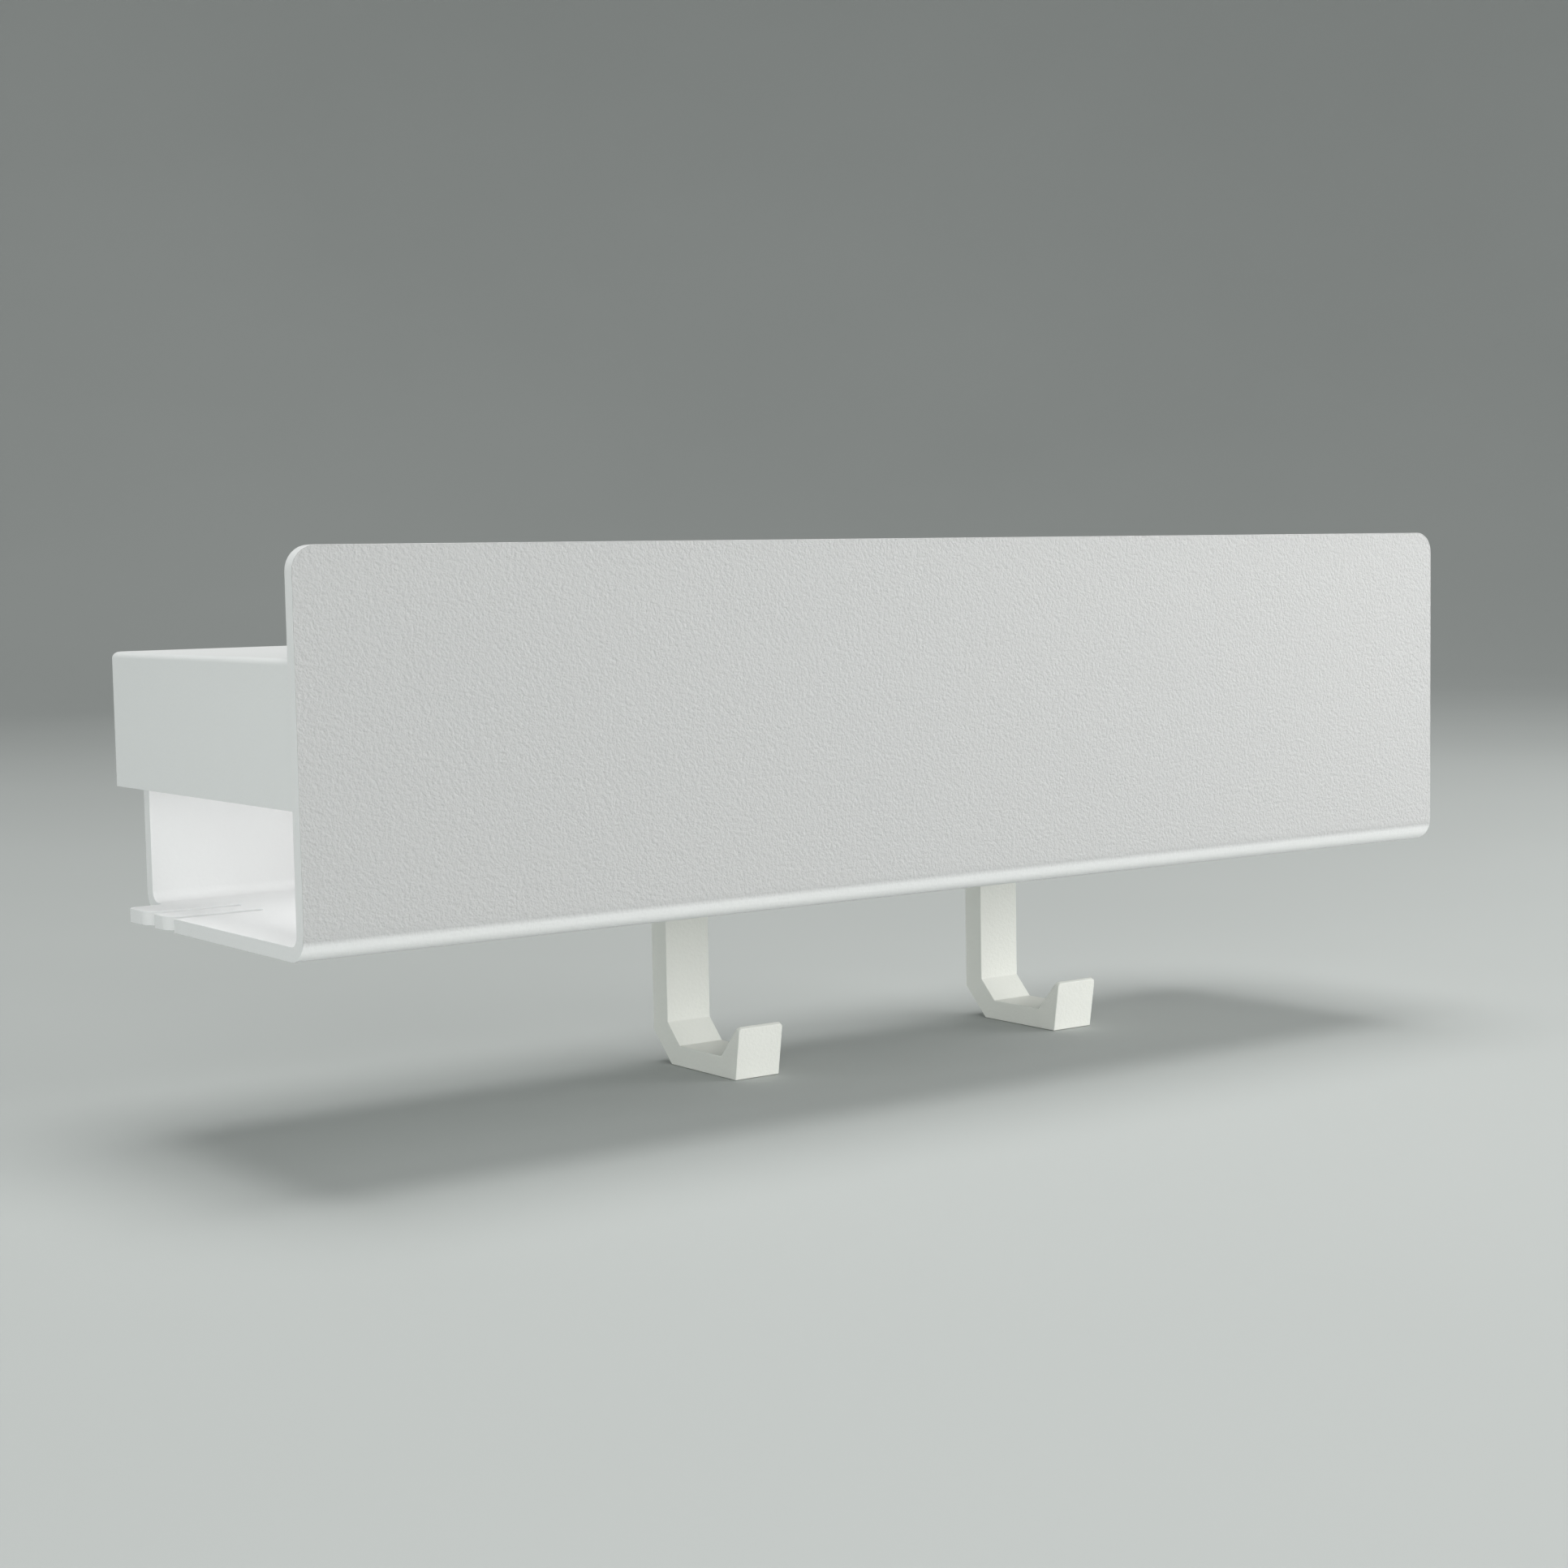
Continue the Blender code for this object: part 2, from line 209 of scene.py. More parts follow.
# %% [markdown]
# ## Finishes
# Powder coat is paint baked from dry powder. The grains melt and flow into a skin that is almost
# flat, with a fine pebbled relief, called orange peel, on large faces. It could be a painted
# picture, but a picture would need a UV map and would blur up close, so noise nodes make it.
# They all read Object coordinates, which are fixed to the piece, so nothing slides when it moves.
# Every finish and every Geometry Nodes tree is built with the few short helpers below.

# %% Node helpers
NOISE_LOW = 0.3
NOISE_HIGH = 0.7


def add_node(tree, kind, **settings):
    node = tree.nodes.new(kind)
    for key, value in settings.items():
        setattr(node, key, value)
    return node


def feed(tree, socket, value):
    """Links another socket to this one, or sets a plain number."""
    if isinstance(value, bpy.types.NodeSocket):
        tree.links.new(value, socket)
    else:
        socket.default_value = value


def math_node(tree, operation, *values):
    """One Math node. Each value is a socket or a number."""
    node = add_node(tree, "ShaderNodeMath", operation=operation)
    for socket, value in zip(node.inputs, values):
        feed(tree, socket, value)
    return node.outputs[0]


def noise(tree, place, grains_per_metre, detail=2.0, roughness=0.5):
    node = add_node(tree, "ShaderNodeTexNoise")
    node.inputs["Scale"].default_value = grains_per_metre
    node.inputs["Detail"].default_value = detail
    node.inputs["Roughness"].default_value = roughness
    tree.links.new(place, node.inputs["Vector"])
    return node.outputs["Fac"]


def spread(tree, value, low, high):
    """Maps the middle of a noise, where nearly all of it lies, onto low to high."""
    node = add_node(tree, "ShaderNodeMapRange")
    node.inputs["From Min"].default_value = NOISE_LOW
    node.inputs["From Max"].default_value = NOISE_HIGH
    node.inputs["To Min"].default_value = low
    node.inputs["To Max"].default_value = high
    tree.links.new(value, node.inputs["Value"])
    return node.outputs["Result"]


def mix_colours(tree, factor, first, second, blend="MIX"):
    """A Mix node for colours. Its sockets share their names, so they are called by number."""
    node = add_node(tree, "ShaderNodeMix", data_type="RGBA", blend_type=blend)
    sockets = (node.inputs[0], node.inputs[6], node.inputs[7])
    for socket, value in zip(sockets, (factor, first, second)):
        feed(tree, socket, (*value, 1.0) if isinstance(value, tuple) else value)
    return node.outputs[2]


def new_material(name):
    """A material with its tree, its main shader and the Object coordinates socket."""
    material = bpy.data.materials.new(name)
    material.use_nodes = True
    tree = material.node_tree
    place = add_node(tree, "ShaderNodeTexCoord").outputs["Object"]
    return material, tree, tree.nodes["Principled BSDF"], place


def relief(tree, shader, height, depth):
    """Bump of the given depth in metres, from a height of 0 to 1."""
    bump = add_node(tree, "ShaderNodeBump")
    bump.inputs["Strength"].default_value = 1.0
    bump.inputs["Distance"].default_value = depth
    tree.links.new(height, bump.inputs["Height"])
    tree.links.new(bump.outputs["Normal"], shader.inputs["Normal"])


# %% [markdown]
# One noise gives the pebbles of the powder coat, a finer one the grit between them, and a slow one
# drifts the tone a little, as a hand-sprayed coat does. The gloss follows the pebbles. The broad
# front has a deeper peel than the other faces, and a painted shade: its colour is darkened so that
# it reads less lit than the rest. The painted shade fades out across the bottom bend, so the bend
# shows brighter. It is the same sheet, so it can't have a second material without a hard line
# round the bend. A point attribute marks it instead, and fades.

# %% Powder coat
PEBBLES_PER_METRE = 1250.0
GRIT_PER_METRE = 2700.0
GRIT_SHARE = 0.5
DRIFT_PER_METRE = 11.0
LATTICE_TURN = (math.radians(31), math.radians(23), math.radians(47))
# The point attribute that marks the front for its deeper peel and its painted shade.
FRONT_PEEL_AND_SHADE = "front_peel_and_painted_shade"
COAT_SPECULAR = 0.45


def powder_coat(name, light, dark, peel_depth, gloss, painted_front_shade=None, smooth_share=1.0):
    """Powder coat between two tones. gloss is the low and high roughness. The front shade is a
    painted shade, a grey multiplied into the colour of the pebbled front so that it reads less lit,
    and smooth_share is how much relief the other faces keep. A point attribute on the piece says
    which of its faces are that front."""
    material, tree, shader, place = new_material(name)
    # A noise is built on a square lattice, and the turn keeps its rows out of line with the sheet.
    askew = add_node(tree, "ShaderNodeMapping")
    askew.inputs["Rotation"].default_value = LATTICE_TURN
    tree.links.new(place, askew.inputs["Vector"])
    pebbles = noise(tree, askew.outputs["Vector"], PEBBLES_PER_METRE, 1.0)
    grit = noise(tree, askew.outputs["Vector"], GRIT_PER_METRE, 1.0)
    drift = noise(tree, place, DRIFT_PER_METRE, 3.0)
    height = math_node(tree, "MULTIPLY_ADD", grit, GRIT_SHARE, pebbles)
    tone = mix_colours(tree, spread(tree, drift, 0.0, 1.0), dark, light)
    # On the marked front the relief is deeper, and a grey is multiplied into the colour as painted
    # shade.
    if painted_front_shade:
        face = add_node(tree, "ShaderNodeAttribute", attribute_name=FRONT_PEEL_AND_SHADE).outputs["Fac"]
        share = math_node(tree, "MULTIPLY_ADD", face, 1 - smooth_share, smooth_share)
        height = math_node(tree, "MULTIPLY", height, share)
        tone = mix_colours(tree, face, tone, painted_front_shade, "MULTIPLY")
    relief(tree, shader, height, peel_depth)
    tree.links.new(tone, shader.inputs["Base Color"])
    tree.links.new(spread(tree, pebbles, *gloss), shader.inputs["Roughness"])
    shader.inputs["Specular IOR Level"].default_value = COAT_SPECULAR
    return material


coat_channel = powder_coat(
    "powder_coat_channel",
    (0.875, 0.875, 0.872),
    (0.865, 0.868, 0.868),
    0.00020,
    (0.42, 0.58),
    # Painted shade of the front: this grey darkens its colour so that it reads less lit than the
    # other faces.
    painted_front_shade=(0.565, 0.565, 0.565),
    smooth_share=0.21,
)
coat_cover = powder_coat(
    "powder_coat_cover", (0.870, 0.875, 0.870), (0.860, 0.868, 0.865), 0.00003, (0.45, 0.55)
)
coat_hook = powder_coat(
    "powder_coat_hook", (0.890, 0.895, 0.847), (0.878, 0.883, 0.834), 0.00007, (0.42, 0.56)
)
print("coats", coat_channel.name, coat_cover.name, coat_hook.name)

# %% [markdown]
# The brackets and the screws are zinc-plated steel. Zinc grows in small crystals, so its tone
# changes from spot to spot, and rolled sheet keeps faint lines in one direction, which change its
# gloss. A Voronoi gives the crystals, and a Mapping node stretches one noise along X for the lines.

# %% Zinc-plated steel
ZINC_CRYSTALS_PER_METRE = 420.0
ZINC_LINES_PER_METRE = 2400.0
ZINC_LINE_STRETCH = (0.03, 1.0, 1.0)
ZINC_LINE_DEPTH = 0.00001
ZINC_GLOSS = (0.28, 0.46)


def zinc_steel(name, light, dark):
    material, tree, shader, place = new_material(name)
    crystals = add_node(tree, "ShaderNodeTexVoronoi", feature="F1")
    crystals.inputs["Scale"].default_value = ZINC_CRYSTALS_PER_METRE
    tree.links.new(place, crystals.inputs["Vector"])
    tone = add_node(tree, "ShaderNodeSeparateColor")
    tree.links.new(crystals.outputs["Color"], tone.inputs["Color"])
    stretch = add_node(tree, "ShaderNodeMapping")
    stretch.inputs["Scale"].default_value = ZINC_LINE_STRETCH
    tree.links.new(place, stretch.inputs["Vector"])
    lines = noise(tree, stretch.outputs["Vector"], ZINC_LINES_PER_METRE)
    colour = mix_colours(tree, tone.outputs["Red"], dark, light)
    tree.links.new(colour, shader.inputs["Base Color"])
    tree.links.new(spread(tree, lines, *ZINC_GLOSS), shader.inputs["Roughness"])
    relief(tree, shader, lines, ZINC_LINE_DEPTH)
    shader.inputs["Metallic"].default_value = 1.0
    return material


steel = zinc_steel("zinc_steel_plate", (0.66, 0.67, 0.68), (0.52, 0.53, 0.55))
print(steel.name, "has", len(steel.node_tree.nodes), "nodes")

# %% [markdown]
# The pads are soft silicone. It is slightly clear, so light spreads inside it, and its skin is
# satin with a fine moulded grain.

# %% Silicone
SILICONE_GRAIN_PER_METRE = 2600.0
SILICONE_CLOUD_PER_METRE = 160.0
SILICONE_GLOSS = (0.46, 0.62)
SILICONE_GRAIN_DEPTH = 0.00002


def soft_silicone(name, light, dark):
    material, tree, shader, place = new_material(name)
    grain = noise(tree, place, SILICONE_GRAIN_PER_METRE)
    cloud = noise(tree, place, SILICONE_CLOUD_PER_METRE)
    colour = mix_colours(tree, spread(tree, cloud, 0.0, 1.0), dark, light)
    tree.links.new(colour, shader.inputs["Base Color"])
    tree.links.new(spread(tree, grain, *SILICONE_GLOSS), shader.inputs["Roughness"])
    relief(tree, shader, grain, SILICONE_GRAIN_DEPTH)
    shader.inputs["Subsurface Weight"].default_value = 0.25
    shader.inputs["Subsurface Radius"].default_value = (1.0, 1.0, 1.0)
    shader.inputs["Subsurface Scale"].default_value = 0.0006
    return material


silicone = soft_silicone("silicone_pad", (0.56, 0.57, 0.58), (0.50, 0.51, 0.52))
print(silicone.name, "has", len(silicone.node_tree.nodes), "nodes")

# %% [markdown]
# The studio floor gets a matt paper finish, with a very faint cloud so that it isn't one flat tone.

# %% Floor finish
PAPER_CLOUD_PER_METRE = 1.4
PAPER_CLOUD_DETAIL = 4.0


def matt_paper(name, light, dark):
    material, tree, shader, place = new_material(name)
    cloud = noise(tree, place, PAPER_CLOUD_PER_METRE, PAPER_CLOUD_DETAIL)
    colour = mix_colours(tree, spread(tree, cloud, 0.0, 1.0), dark, light)
    tree.links.new(colour, shader.inputs["Base Color"])
    shader.inputs["Roughness"].default_value = 0.9
    shader.inputs["Specular IOR Level"].default_value = 0.15
    return material


floor.data.materials.append(matt_paper("floor_paper", (0.52, 0.54, 0.53), (0.49, 0.51, 0.50)))
print("finishes", [m.name for m in bpy.data.materials])

# %% [markdown]
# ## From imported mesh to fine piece
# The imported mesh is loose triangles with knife-sharp edges. A real laser-cut edge is tumbled, and
# the coat flows round it, so every edge has a small radius that catches a line of light. The copy
# has its doubles merged and its flat triangles joined. A Bevel modifier then rounds each sharp
# edge, and Weighted Normal keeps the big faces flat. The result is stored as a plain mesh.

# %% Fine copy
MERGE = 0.000002
FLAT_ANGLE = math.radians(0.3)
EDGE_ANGLE = math.radians(28)
EDGE_STEPS = 3
THIN_EDGE_STEPS = 2


def merged_copy(node):
    """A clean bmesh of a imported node: doubles merged, and flat triangles joined to big faces."""
    shape = bmesh.new()
    shape.from_mesh(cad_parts[node].data)
    bmesh.ops.remove_doubles(shape, verts=shape.verts, dist=MERGE)
    bmesh.ops.dissolve_limit(
        shape,
        angle_limit=FLAT_ANGLE,
        verts=shape.verts,
        edges=shape.edges,
        use_dissolve_boundaries=False,
    )
    return shape


def plain_mesh(source, name):
    """The evaluated mesh of an object with modifiers, as a new object with none."""
    depsgraph = bpy.context.evaluated_depsgraph_get()
    depsgraph.update()
    mesh = bpy.data.meshes.new_from_object(source.evaluated_get(depsgraph), depsgraph=depsgraph)
    bpy.data.objects.remove(source)
    mesh.name = name
    made = bpy.data.objects.new(name, mesh)
    bpy.context.scene.collection.objects.link(made)
    return made


def rounded(shape, name, radius, segments, finish):
    """Rounds the sharp edges of a bmesh and returns the plain object."""
    mesh = bpy.data.meshes.new(name)
    shape.to_mesh(mesh)
    shape.free()
    mesh.shade_smooth()
    mesh.materials.clear()
    mesh.materials.append(finish)
    work = bpy.data.objects.new(name + "_work", mesh)
    bpy.context.scene.collection.objects.link(work)
    bevel = work.modifiers.new("edge_radius", "BEVEL")
    bevel.limit_method = "ANGLE"
    bevel.angle_limit = EDGE_ANGLE
    bevel.width = radius
    bevel.segments = segments
    bevel.miter_outer = "MITER_ARC"
    flat = work.modifiers.new("flat_faces", "WEIGHTED_NORMAL")
    flat.weight = 100
    flat.keep_sharp = True
    return plain_mesh(work, name)


def stands_for(piece, body, slot, *nodes):
    """Rides the piece on a body and hides the nodes it stands for. The slot argument is not used.
    """
    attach(piece, body)
    if nodes:
        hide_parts(*nodes)
    low = [round(min(v.co[k] for v in piece.data.vertices) / MM, 2) for k in range(3)]
    high = [round(max(v.co[k] for v in piece.data.vertices) / MM, 2) for k in range(3)]
    print(piece.name, "from", low, "to", high, "mm,", len(piece.data.polygons), "faces")


# %% [markdown]
# ## Folded channel
# One steel sheet, laser cut and bent twice, makes the front panel, the floor and the back plate.
# Its outline has rounded upper corners, cable slots with soft finger tips at both ends, and
# keyholes. The imported shape is exact, so it only needs its edge radius. The attribute that marks
# the front, for its deeper peel and its painted shade, is then worked out for every point from its
# place on the sheet.

# %% Channel
CHANNEL_EDGE = 0.0006
SHEET = 0.003
BEND_RADIUS = 0.0055
# The painted shade of the front fades out over this much depth along the bottom bend, so the bend
# shows brighter than the front.
PEEL_AND_SHADE_FADE = 0.0006

channel_low, channel_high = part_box("channel_body")
PANEL_FRONT_Y = channel_low.y
PANEL_INNER_Y = PANEL_FRONT_Y + SHEET
BEND_TOP_Z = channel_low.z + BEND_RADIUS
BEND_END_Y = PANEL_FRONT_Y + PEEL_AND_SHADE_FADE
HALF_WIDTH = channel_high.x


def front_share(place):
    """1 on the panel's front, 0 on its ends, and fading to 0 as the bottom bend turns away. It sets
    the deeper peel and the painted shade of the front.
    """
    if HALF_WIDTH - abs(place.x) < MERGE:
        return 0.0
    if place.z > BEND_TOP_Z:
        return 1.0 if place.y < PANEL_FRONT_Y + MERGE else 0.0
    share = min(max((BEND_END_Y - place.y) / (BEND_END_Y - PANEL_FRONT_Y), 0.0), 1.0)
    return share * share * (3 - 2 * share)


channel = rounded(merged_copy("channel_body"), "channel", CHANNEL_EDGE, EDGE_STEPS, coat_channel)
# Each point gets its share of the deeper peel and of the painted shade.
peel_and_shade_share = channel.data.attributes.new(FRONT_PEEL_AND_SHADE, "FLOAT", "POINT")
peel_and_shade_share.data.foreach_set("value", [front_share(v.co) for v in channel.data.vertices])
stands_for(channel, "rack", "powder_coat", "channel_body")

# %% [markdown]
# ## Cover shelf
# The cover is a tray of thin sheet turned upside down: deep ends and short front and rear
# flanges. It lifts straight off. A good fit leaves only a hairline beside the front panel, so
# the front edges of this copy are moved forward to leave that hairline.

# %% Cover
COVER_EDGE = 0.0003
HAIRLINE = 0.00005

cover_shape = merged_copy("cover_shelf")
cover_front_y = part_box("cover_shelf")[0].y
for vert in cover_shape.verts:
    if vert.co.y < cover_front_y + MERGE:
        vert.co.y = PANEL_INNER_Y + HAIRLINE
cover = rounded(cover_shape, "cover", COVER_EDGE, THIN_EDGE_STEPS, coat_cover)
stands_for(cover, "cover", "powder_coat", "cover_shelf")

# %% [markdown]
# ## J hooks
# Each hook is a flat steel bar, sawn and bent in short straight runs, that comes down through
# the floor of the channel and ends in a small upturned lip. All its edges are eased, and the two
# upper corners of the lip are rounded more, because a coat hangs on them.

# %% Hooks
HOOK_EDGE = 0.0005
LIP_CORNER = 0.0009
LIP_CORNER_STEPS = 5
LIP_ROOT_Y = -0.030
LIP_TOP_SLOPE = 0.0006


def ease_lip(shape):
    """Rounds the two upper corners of the lip, as a file does, before the small edge radius."""
    lip = [v for v in shape.verts if v.co.y < LIP_ROOT_Y]
    lip_top = max(v.co.z for v in lip)
    corners = [
        edge
        for edge in shape.edges
        if all(v in lip and v.co.z > lip_top - LIP_TOP_SLOPE for v in edge.verts)
        and abs(edge.verts[0].co.x - edge.verts[1].co.x) < MERGE
    ]
    bmesh.ops.bevel(
        shape,
        geom=corners,
        offset=LIP_CORNER,
        segments=LIP_CORNER_STEPS,
        profile=0.5,
        affect="EDGES",
    )


for hook_name in ("hook_left", "hook_right"):
    hook_shape = merged_copy(hook_name)
    ease_lip(hook_shape)
    hook = rounded(hook_shape, hook_name + "_bar", HOOK_EDGE, EDGE_STEPS, coat_hook)
    stands_for(hook, "rack", "powder_coat", hook_name)

# %% [markdown]
# ## Rest brackets
# Four small angles of thin zinc-plated sheet hold the cover from below. Each is spot welded to
# the channel. A box with a bevel would give the same angle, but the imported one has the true
# place and size already, so the angles are fine copies of it.

# %% Brackets
BRACKETS = [n for n in sorted(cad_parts) if n.startswith("rest_bracket")]
BRACKET_EDGE = 0.0002

for bracket_name in BRACKETS:
    angle_name = bracket_name + "_angle"
    angle_shape = merged_copy(bracket_name)
    bracket = rounded(angle_shape, angle_name, BRACKET_EDGE, THIN_EDGE_STEPS, steel)
    stands_for(bracket, "rack", "zinc_steel", bracket_name)

# %% [markdown]
# What repeats is made by Geometry Nodes: a tree holds the shape once, and loose points say where
# it goes. Each tree takes its sizes through named inputs, so that one number changes every copy.
# It ends by making the copies real and giving them their finish, and the result is stored as a
# plain mesh.

# %% Tree helpers
NO_TURN = (0.0, 0.0, 0.0)
LAID_ALONG_Y = (math.pi / 2, 0.0, 0.0)


def geometry_tree(name, sizes):
    """A Geometry Nodes tree with a Geometry input and one named input for each size."""
    tree = bpy.data.node_groups.new(name, "GeometryNodeTree")
    tree.interface.new_socket("Geometry", in_out="OUTPUT", socket_type="NodeSocketGeometry")
    tree.interface.new_socket("Geometry", in_out="INPUT", socket_type="NodeSocketGeometry")
    for label, value in sizes.items():
        kind = "NodeSocketInt" if isinstance(value, int) else "NodeSocketFloat"
        tree.interface.new_socket(label, in_out="INPUT", socket_type=kind)
    return tree, add_node(tree, "NodeGroupInput").outputs


def put_on_points(tree, points, shape, turn, finish):
    """Ends a tree: the shape on every point, turned, made real, and given its finish."""
    spots = add_node(tree, "GeometryNodeInstanceOnPoints")
    tree.links.new(points, spots.inputs["Points"])
    tree.links.new(shape, spots.inputs["Instance"])
    spots.inputs["Rotation"].default_value = turn
    real = add_node(tree, "GeometryNodeRealizeInstances")
    tree.links.new(spots.outputs["Instances"], real.inputs["Geometry"])
    paint = add_node(tree, "GeometryNodeSetMaterial")
    paint.inputs["Material"].default_value = finish
    tree.links.new(real.outputs["Geometry"], paint.inputs["Geometry"])
    tree.links.new(paint.outputs["Geometry"], add_node(tree, "NodeGroupOutput").inputs[0])


def grow(tree, name, points, sizes):
    """Runs a tree on a mesh of loose points and returns the plain object."""
    mesh = bpy.data.meshes.new(name)
    mesh.from_pydata(points, [], [])
    work = bpy.data.objects.new(name + "_work", mesh)
    bpy.context.scene.collection.objects.link(work)
    modifier = work.modifiers.new("grow", "NODES")
    modifier.node_group = tree
    for socket in tree.interface.items_tree:
        if socket.in_out == "INPUT" and socket.name in sizes:
            modifier[socket.identifier] = sizes[socket.name]
    made = plain_mesh(work, name)
    finish = made.data.materials[-1]
    made.data.materials.clear()
    made.data.materials.append(finish)
    made.data.polygons.foreach_set("material_index", [0] * len(made.data.polygons))
    made.data.shade_smooth()
    made.data.set_sharp_from_angle(angle=EDGE_ANGLE)
    return made


# %% [markdown]
# A spot weld leaves a shallow dish with a raised rim on the sheet. Only the rim catches light, so
# it is a thin ring: a small circle swept along a larger one, two on each bracket.

# %% Weld rims
WELD_SIZES = {"Rim Radius": 0.0014, "Rim Wire": 0.00022}
BRACKET_SHEET = 0.0015
WELD_OFFSET = 0.005
WELD_DROP = 0.006
RIM_STEPS = 28
WIRE_STEPS = 8

weld_tree, size_in = geometry_tree("weld_rim", WELD_SIZES)
rim_path = add_node(weld_tree, "GeometryNodeCurvePrimitiveCircle")
rim_path.inputs["Resolution"].default_value = RIM_STEPS
weld_tree.links.new(size_in["Rim Radius"], rim_path.inputs["Radius"])
rim_wire = add_node(weld_tree, "GeometryNodeCurvePrimitiveCircle")
rim_wire.inputs["Resolution"].default_value = WIRE_STEPS
weld_tree.links.new(size_in["Rim Wire"], rim_wire.inputs["Radius"])
rim_ring = add_node(weld_tree, "GeometryNodeCurveToMesh")
weld_tree.links.new(rim_path.outputs["Curve"], rim_ring.inputs["Curve"])
weld_tree.links.new(rim_wire.outputs["Curve"], rim_ring.inputs["Profile Curve"])
put_on_points(weld_tree, size_in["Geometry"], rim_ring.outputs["Mesh"], LAID_ALONG_Y, steel)

weld_points = []
for bracket_name in BRACKETS:
    low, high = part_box(bracket_name)
    # The upright leg is on the side of the nearer wall, and its free face looks into the tray.
    at_front = low.y < STUDIO_CENTRE.y
    face_y = low.y + BRACKET_SHEET if at_front else high.y - BRACKET_SHEET
    for side in (-1, 1):
        weld_x = (low.x + high.x) / 2 + side * WELD_OFFSET
        weld_points.append((weld_x, face_y, high.z - WELD_DROP))
welds = grow(weld_tree, "weld_rims", weld_points, WELD_SIZES)
stands_for(welds, "rack", "zinc_steel")

# %% [markdown]
# ## Rest pads
# A silicone pad lies on each bracket, so that the cover doesn't rattle. The block under the ribs
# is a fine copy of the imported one, with a larger edge radius than its bracket, as a moulding has.

# %% Pads
PADS = [n for n in sorted(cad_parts) if n.startswith("rest_pad")]
PAD_EDGE = 0.00035

for pad_name in PADS:
    pad = rounded(merged_copy(pad_name), pad_name + "_block", PAD_EDGE, EDGE_STEPS, silicone)
    stands_for(pad, "rack", "silicone", pad_name)

# %% [markdown]
# Low ribs on the pads give them a soft start when they are pressed. A rib is a round bar sunk
# more than halfway into the pad. They could be cut from the block, but as bars on points their
# number and pitch stay free to change.

# %% Pad ribs
RIB_SIZES = {"Rib Length": 0.0125, "Rib Radius": 0.0003}
RIB_SIDES = 16
RIBS_ON_PAD = 4
RIB_PITCH = 0.0021
RIB_SUNK = 0.00018

rib_tree, size_in = geometry_tree("pad_rib", RIB_SIZES)
rib_end = add_node(rib_tree, "ShaderNodeCombineXYZ")
rib_start = add_node(rib_tree, "ShaderNodeCombineXYZ")
half = math_node(rib_tree, "MULTIPLY", size_in["Rib Length"], 0.5)
rib_tree.links.new(half, rib_end.inputs["X"])
minus_half = math_node(rib_tree, "MULTIPLY", half, -1.0)
rib_tree.links.new(minus_half, rib_start.inputs["X"])
rib_line = add_node(rib_tree, "GeometryNodeCurvePrimitiveLine")
rib_tree.links.new(rib_start.outputs["Vector"], rib_line.inputs["Start"])
rib_tree.links.new(rib_end.outputs["Vector"], rib_line.inputs["End"])
rib_round = add_node(rib_tree, "GeometryNodeCurvePrimitiveCircle")
rib_round.inputs["Resolution"].default_value = RIB_SIDES
rib_tree.links.new(size_in["Rib Radius"], rib_round.inputs["Radius"])
rib_bar = add_node(rib_tree, "GeometryNodeCurveToMesh")
rib_bar.inputs["Fill Caps"].default_value = True
rib_tree.links.new(rib_line.outputs["Curve"], rib_bar.inputs["Curve"])
rib_tree.links.new(rib_round.outputs["Curve"], rib_bar.inputs["Profile Curve"])
put_on_points(rib_tree, size_in["Geometry"], rib_bar.outputs["Mesh"], NO_TURN, silicone)

rib_points = []
for pad_name in PADS:
    low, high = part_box(pad_name)
    for i in range(RIBS_ON_PAD):
        rib_y = (low.y + high.y) / 2 + (i - (RIBS_ON_PAD - 1) / 2) * RIB_PITCH
        rib_points.append(((low.x + high.x) / 2, rib_y, high.z - RIB_SUNK))
ribs = grow(rib_tree, "pad_ribs", rib_points, RIB_SIZES)
stands_for(ribs, "rack", "silicone")

# %% [markdown]
# ## Hook screws
# Two countersunk screws with a hex socket hold each hook, driven from behind the back plate.
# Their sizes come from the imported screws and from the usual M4 thread, with a pitch of 0.7 mm.

# %% Screw sizes
SCREWS = [n for n in sorted(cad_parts) if "screw" in n]
screw_low, screw_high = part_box(SCREWS[0])
SCREW_SIZES = {
    "Head Radius": (screw_high.x - screw_low.x) / 2,
    "Thread Radius": 0.002,
    "Head Depth": 0.0019,
    "Length": screw_high.y - screw_low.y,
    "Pitch": 0.0007,
    "Thread Depth": 0.00034,
    "Tip Taper": 0.0005,
    "Socket Radius": 0.0014,
    "Socket Depth": 0.0012,
    "Sides": 36,
    "Rings": 96,
}
print("screw in mm", {k: round(v / MM, 2) for k, v in SCREW_SIZES.items() if isinstance(v, float)})

# %% [markdown]
# The screw starts as one fine cylinder of radius 1. Its points are measured by their angle round
# the axis and their height along it, because the thread and the socket both follow from these.

# %% Screw cylinder
screw_tree, size_in = geometry_tree("countersunk_screw", SCREW_SIZES)


def screw_math(operation, *values):
    return math_node(screw_tree, operation, *values)


def ramp(value, start, end, first, last):
    """A clamped Map Range: first at start, last at end."""
    node = add_node(screw_tree, "ShaderNodeMapRange")
    labels = ("Value", "From Min", "From Max", "To Min", "To Max")
    for label, number in zip(labels, (value, start, end, first, last)):
        feed(screw_tree, node.inputs[label], number)
    return node.outputs["Result"]


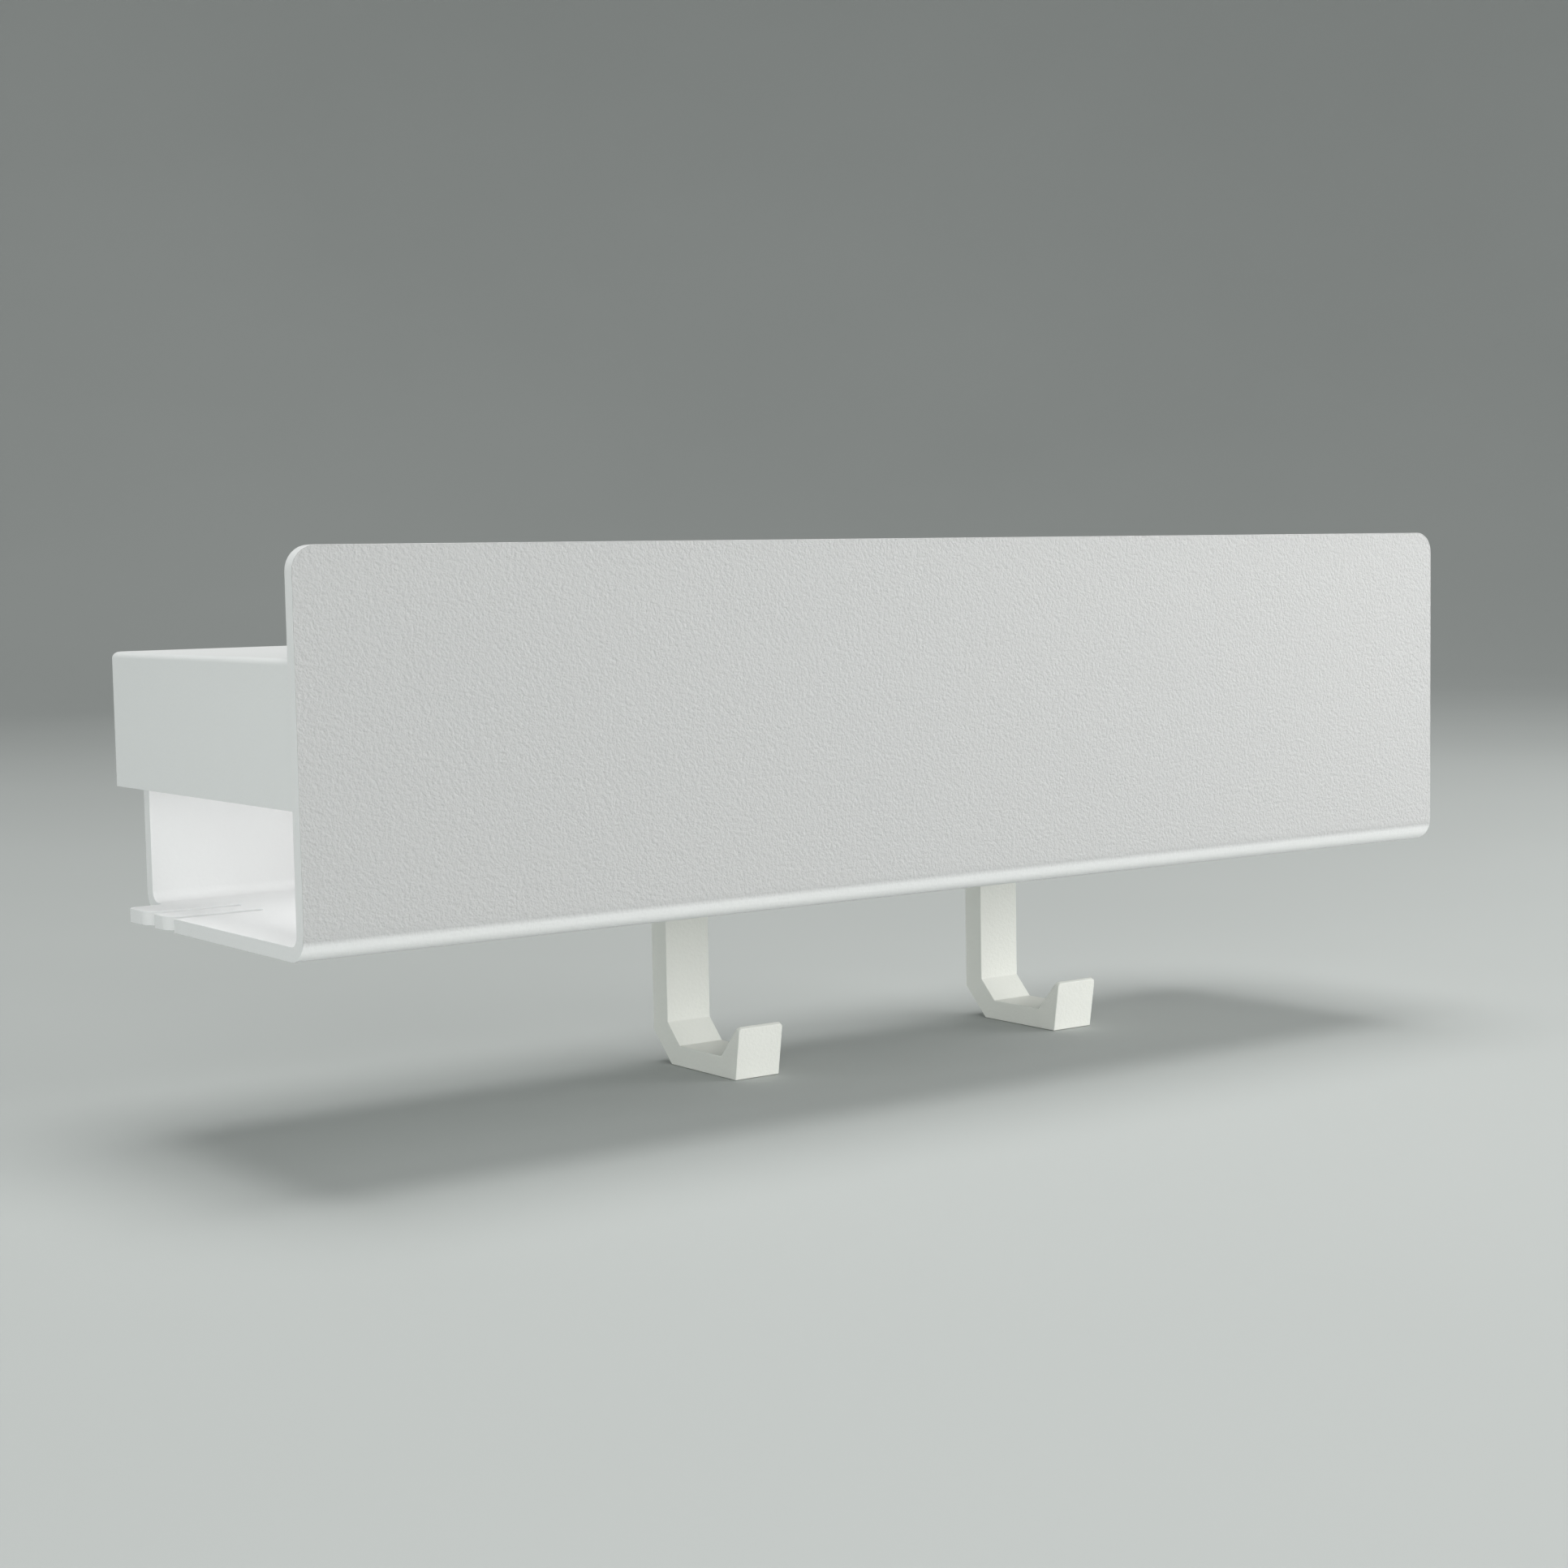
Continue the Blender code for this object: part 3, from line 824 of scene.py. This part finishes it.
cylinder = add_node(screw_tree, "GeometryNodeMeshCylinder")
for label, size_name in (("Vertices", "Sides"), ("Side Segments", "Rings"), ("Depth", "Length")):
    screw_tree.links.new(size_in[size_name], cylinder.inputs[label])
cylinder.inputs["Radius"].default_value = 1.0
point = add_node(screw_tree, "ShaderNodeSeparateXYZ")
screw_tree.links.new(add_node(screw_tree, "GeometryNodeInputPosition").outputs[0], point.inputs[0])
turn_round = screw_math("ARCTAN2", point.outputs["Y"], point.outputs["X"])
half_length = screw_math("MULTIPLY", size_in["Length"], 0.5)
height = screw_math("ADD", point.outputs["Z"], half_length)

# %% [markdown]
# A thread follows a rule: its radius rises and falls with the height along the screw and the
# angle round it. A coil swept along a helix would have to be joined to the core, so every point of
# the cylinder is moved in or out by the rule instead. The rule is the core, less the groove, less
# the taper of the tip.

# %% Thread rule
core = ramp(height, 0.0, size_in["Head Depth"], size_in["Head Radius"], size_in["Thread Radius"])
turns = screw_math(
    "SUBTRACT",
    screw_math("DIVIDE", height, size_in["Pitch"]),
    screw_math("DIVIDE", turn_round, math.tau),
)
saw = screw_math("MULTIPLY_ADD", screw_math("FRACT", turns), 2.0, -1.0)
wave = screw_math("ABSOLUTE", saw)
thread_start = screw_math("ADD", size_in["Head Depth"], size_in["Pitch"])
thread_on = ramp(height, size_in["Head Depth"], thread_start, 0.0, 1.0)
groove = screw_math("MULTIPLY", screw_math("MULTIPLY", wave, thread_on), size_in["Thread Depth"])
tip_start = screw_math("SUBTRACT", size_in["Length"], size_in["Tip Taper"])
tip = ramp(height, tip_start, size_in["Length"], 0.0, size_in["Tip Taper"])
radius = screw_math("SUBTRACT", screw_math("SUBTRACT", core, groove), tip)
moved = add_node(screw_tree, "ShaderNodeCombineXYZ")
screw_tree.links.new(screw_math("MULTIPLY", point.outputs["X"], radius), moved.inputs["X"])
screw_tree.links.new(screw_math("MULTIPLY", point.outputs["Y"], radius), moved.inputs["Y"])
screw_tree.links.new(height, moved.inputs["Z"])
threaded = add_node(screw_tree, "GeometryNodeSetPosition")
screw_tree.links.new(cylinder.outputs["Mesh"], threaded.inputs["Geometry"])
screw_tree.links.new(moved.outputs["Vector"], threaded.inputs["Position"])

# %% [markdown]
# The socket is sunk in the flat face of the head. The face is extruded in place, shrunk to the
# socket, pulled to a hexagon, and pushed into the screw. A Boolean would do it too, but it would
# cut the fine cylinder into uneven faces.

# %% Hex socket
face_copy = add_node(screw_tree, "GeometryNodeExtrudeMesh", mode="FACES")
screw_tree.links.new(threaded.outputs["Geometry"], face_copy.inputs["Mesh"])
screw_tree.links.new(cylinder.outputs["Bottom"], face_copy.inputs["Selection"])
face_copy.inputs["Offset Scale"].default_value = 0.0
face_copy.inputs["Individual"].default_value = False
shrunk = add_node(screw_tree, "GeometryNodeScaleElements")
screw_tree.links.new(face_copy.outputs["Mesh"], shrunk.inputs["Geometry"])
screw_tree.links.new(face_copy.outputs["Top"], shrunk.inputs["Selection"])
socket_share = screw_math("DIVIDE", size_in["Socket Radius"], size_in["Head Radius"])
screw_tree.links.new(socket_share, shrunk.inputs["Scale"])
SIXTH = math.tau / 6
from_flat = screw_math("SUBTRACT", screw_math("FLOORED_MODULO", turn_round, SIXTH), SIXTH / 2)
hexagon = screw_math("DIVIDE", math.cos(SIXTH / 2), screw_math("COSINE", from_flat))
hex_point = add_node(screw_tree, "ShaderNodeCombineXYZ")
screw_tree.links.new(screw_math("MULTIPLY", point.outputs["X"], hexagon), hex_point.inputs["X"])
screw_tree.links.new(screw_math("MULTIPLY", point.outputs["Y"], hexagon), hex_point.inputs["Y"])
screw_tree.links.new(point.outputs["Z"], hex_point.inputs["Z"])
hexed = add_node(screw_tree, "GeometryNodeSetPosition")
screw_tree.links.new(shrunk.outputs["Geometry"], hexed.inputs["Geometry"])
screw_tree.links.new(face_copy.outputs["Top"], hexed.inputs["Selection"])
screw_tree.links.new(hex_point.outputs["Vector"], hexed.inputs["Position"])
sunk = add_node(screw_tree, "GeometryNodeExtrudeMesh", mode="FACES")
screw_tree.links.new(hexed.outputs["Geometry"], sunk.inputs["Mesh"])
screw_tree.links.new(face_copy.outputs["Top"], sunk.inputs["Selection"])
inwards = screw_math("MULTIPLY", size_in["Socket Depth"], -1.0)
screw_tree.links.new(inwards, sunk.inputs["Offset Scale"])
sunk.inputs["Individual"].default_value = False
put_on_points(screw_tree, size_in["Geometry"], sunk.outputs["Mesh"], LAID_ALONG_Y, steel)
print("the screw tree has", len(screw_tree.nodes), "nodes")

# %% [markdown]
# One point for each packed screw, at the middle of its head, sets the four screws. They ride on
# the rack, and together they stand for the four packed ones.

# %% Screws in place
screw_points = []
for screw_name in SCREWS:
    low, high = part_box(screw_name)
    screw_points.append(((low.x + high.x) / 2, high.y, (low.z + high.z) / 2))
screws = grow(screw_tree, "hook_screws", screw_points, SCREW_SIZES)
stands_for(screws, "rack", "zinc_steel", *SCREWS)
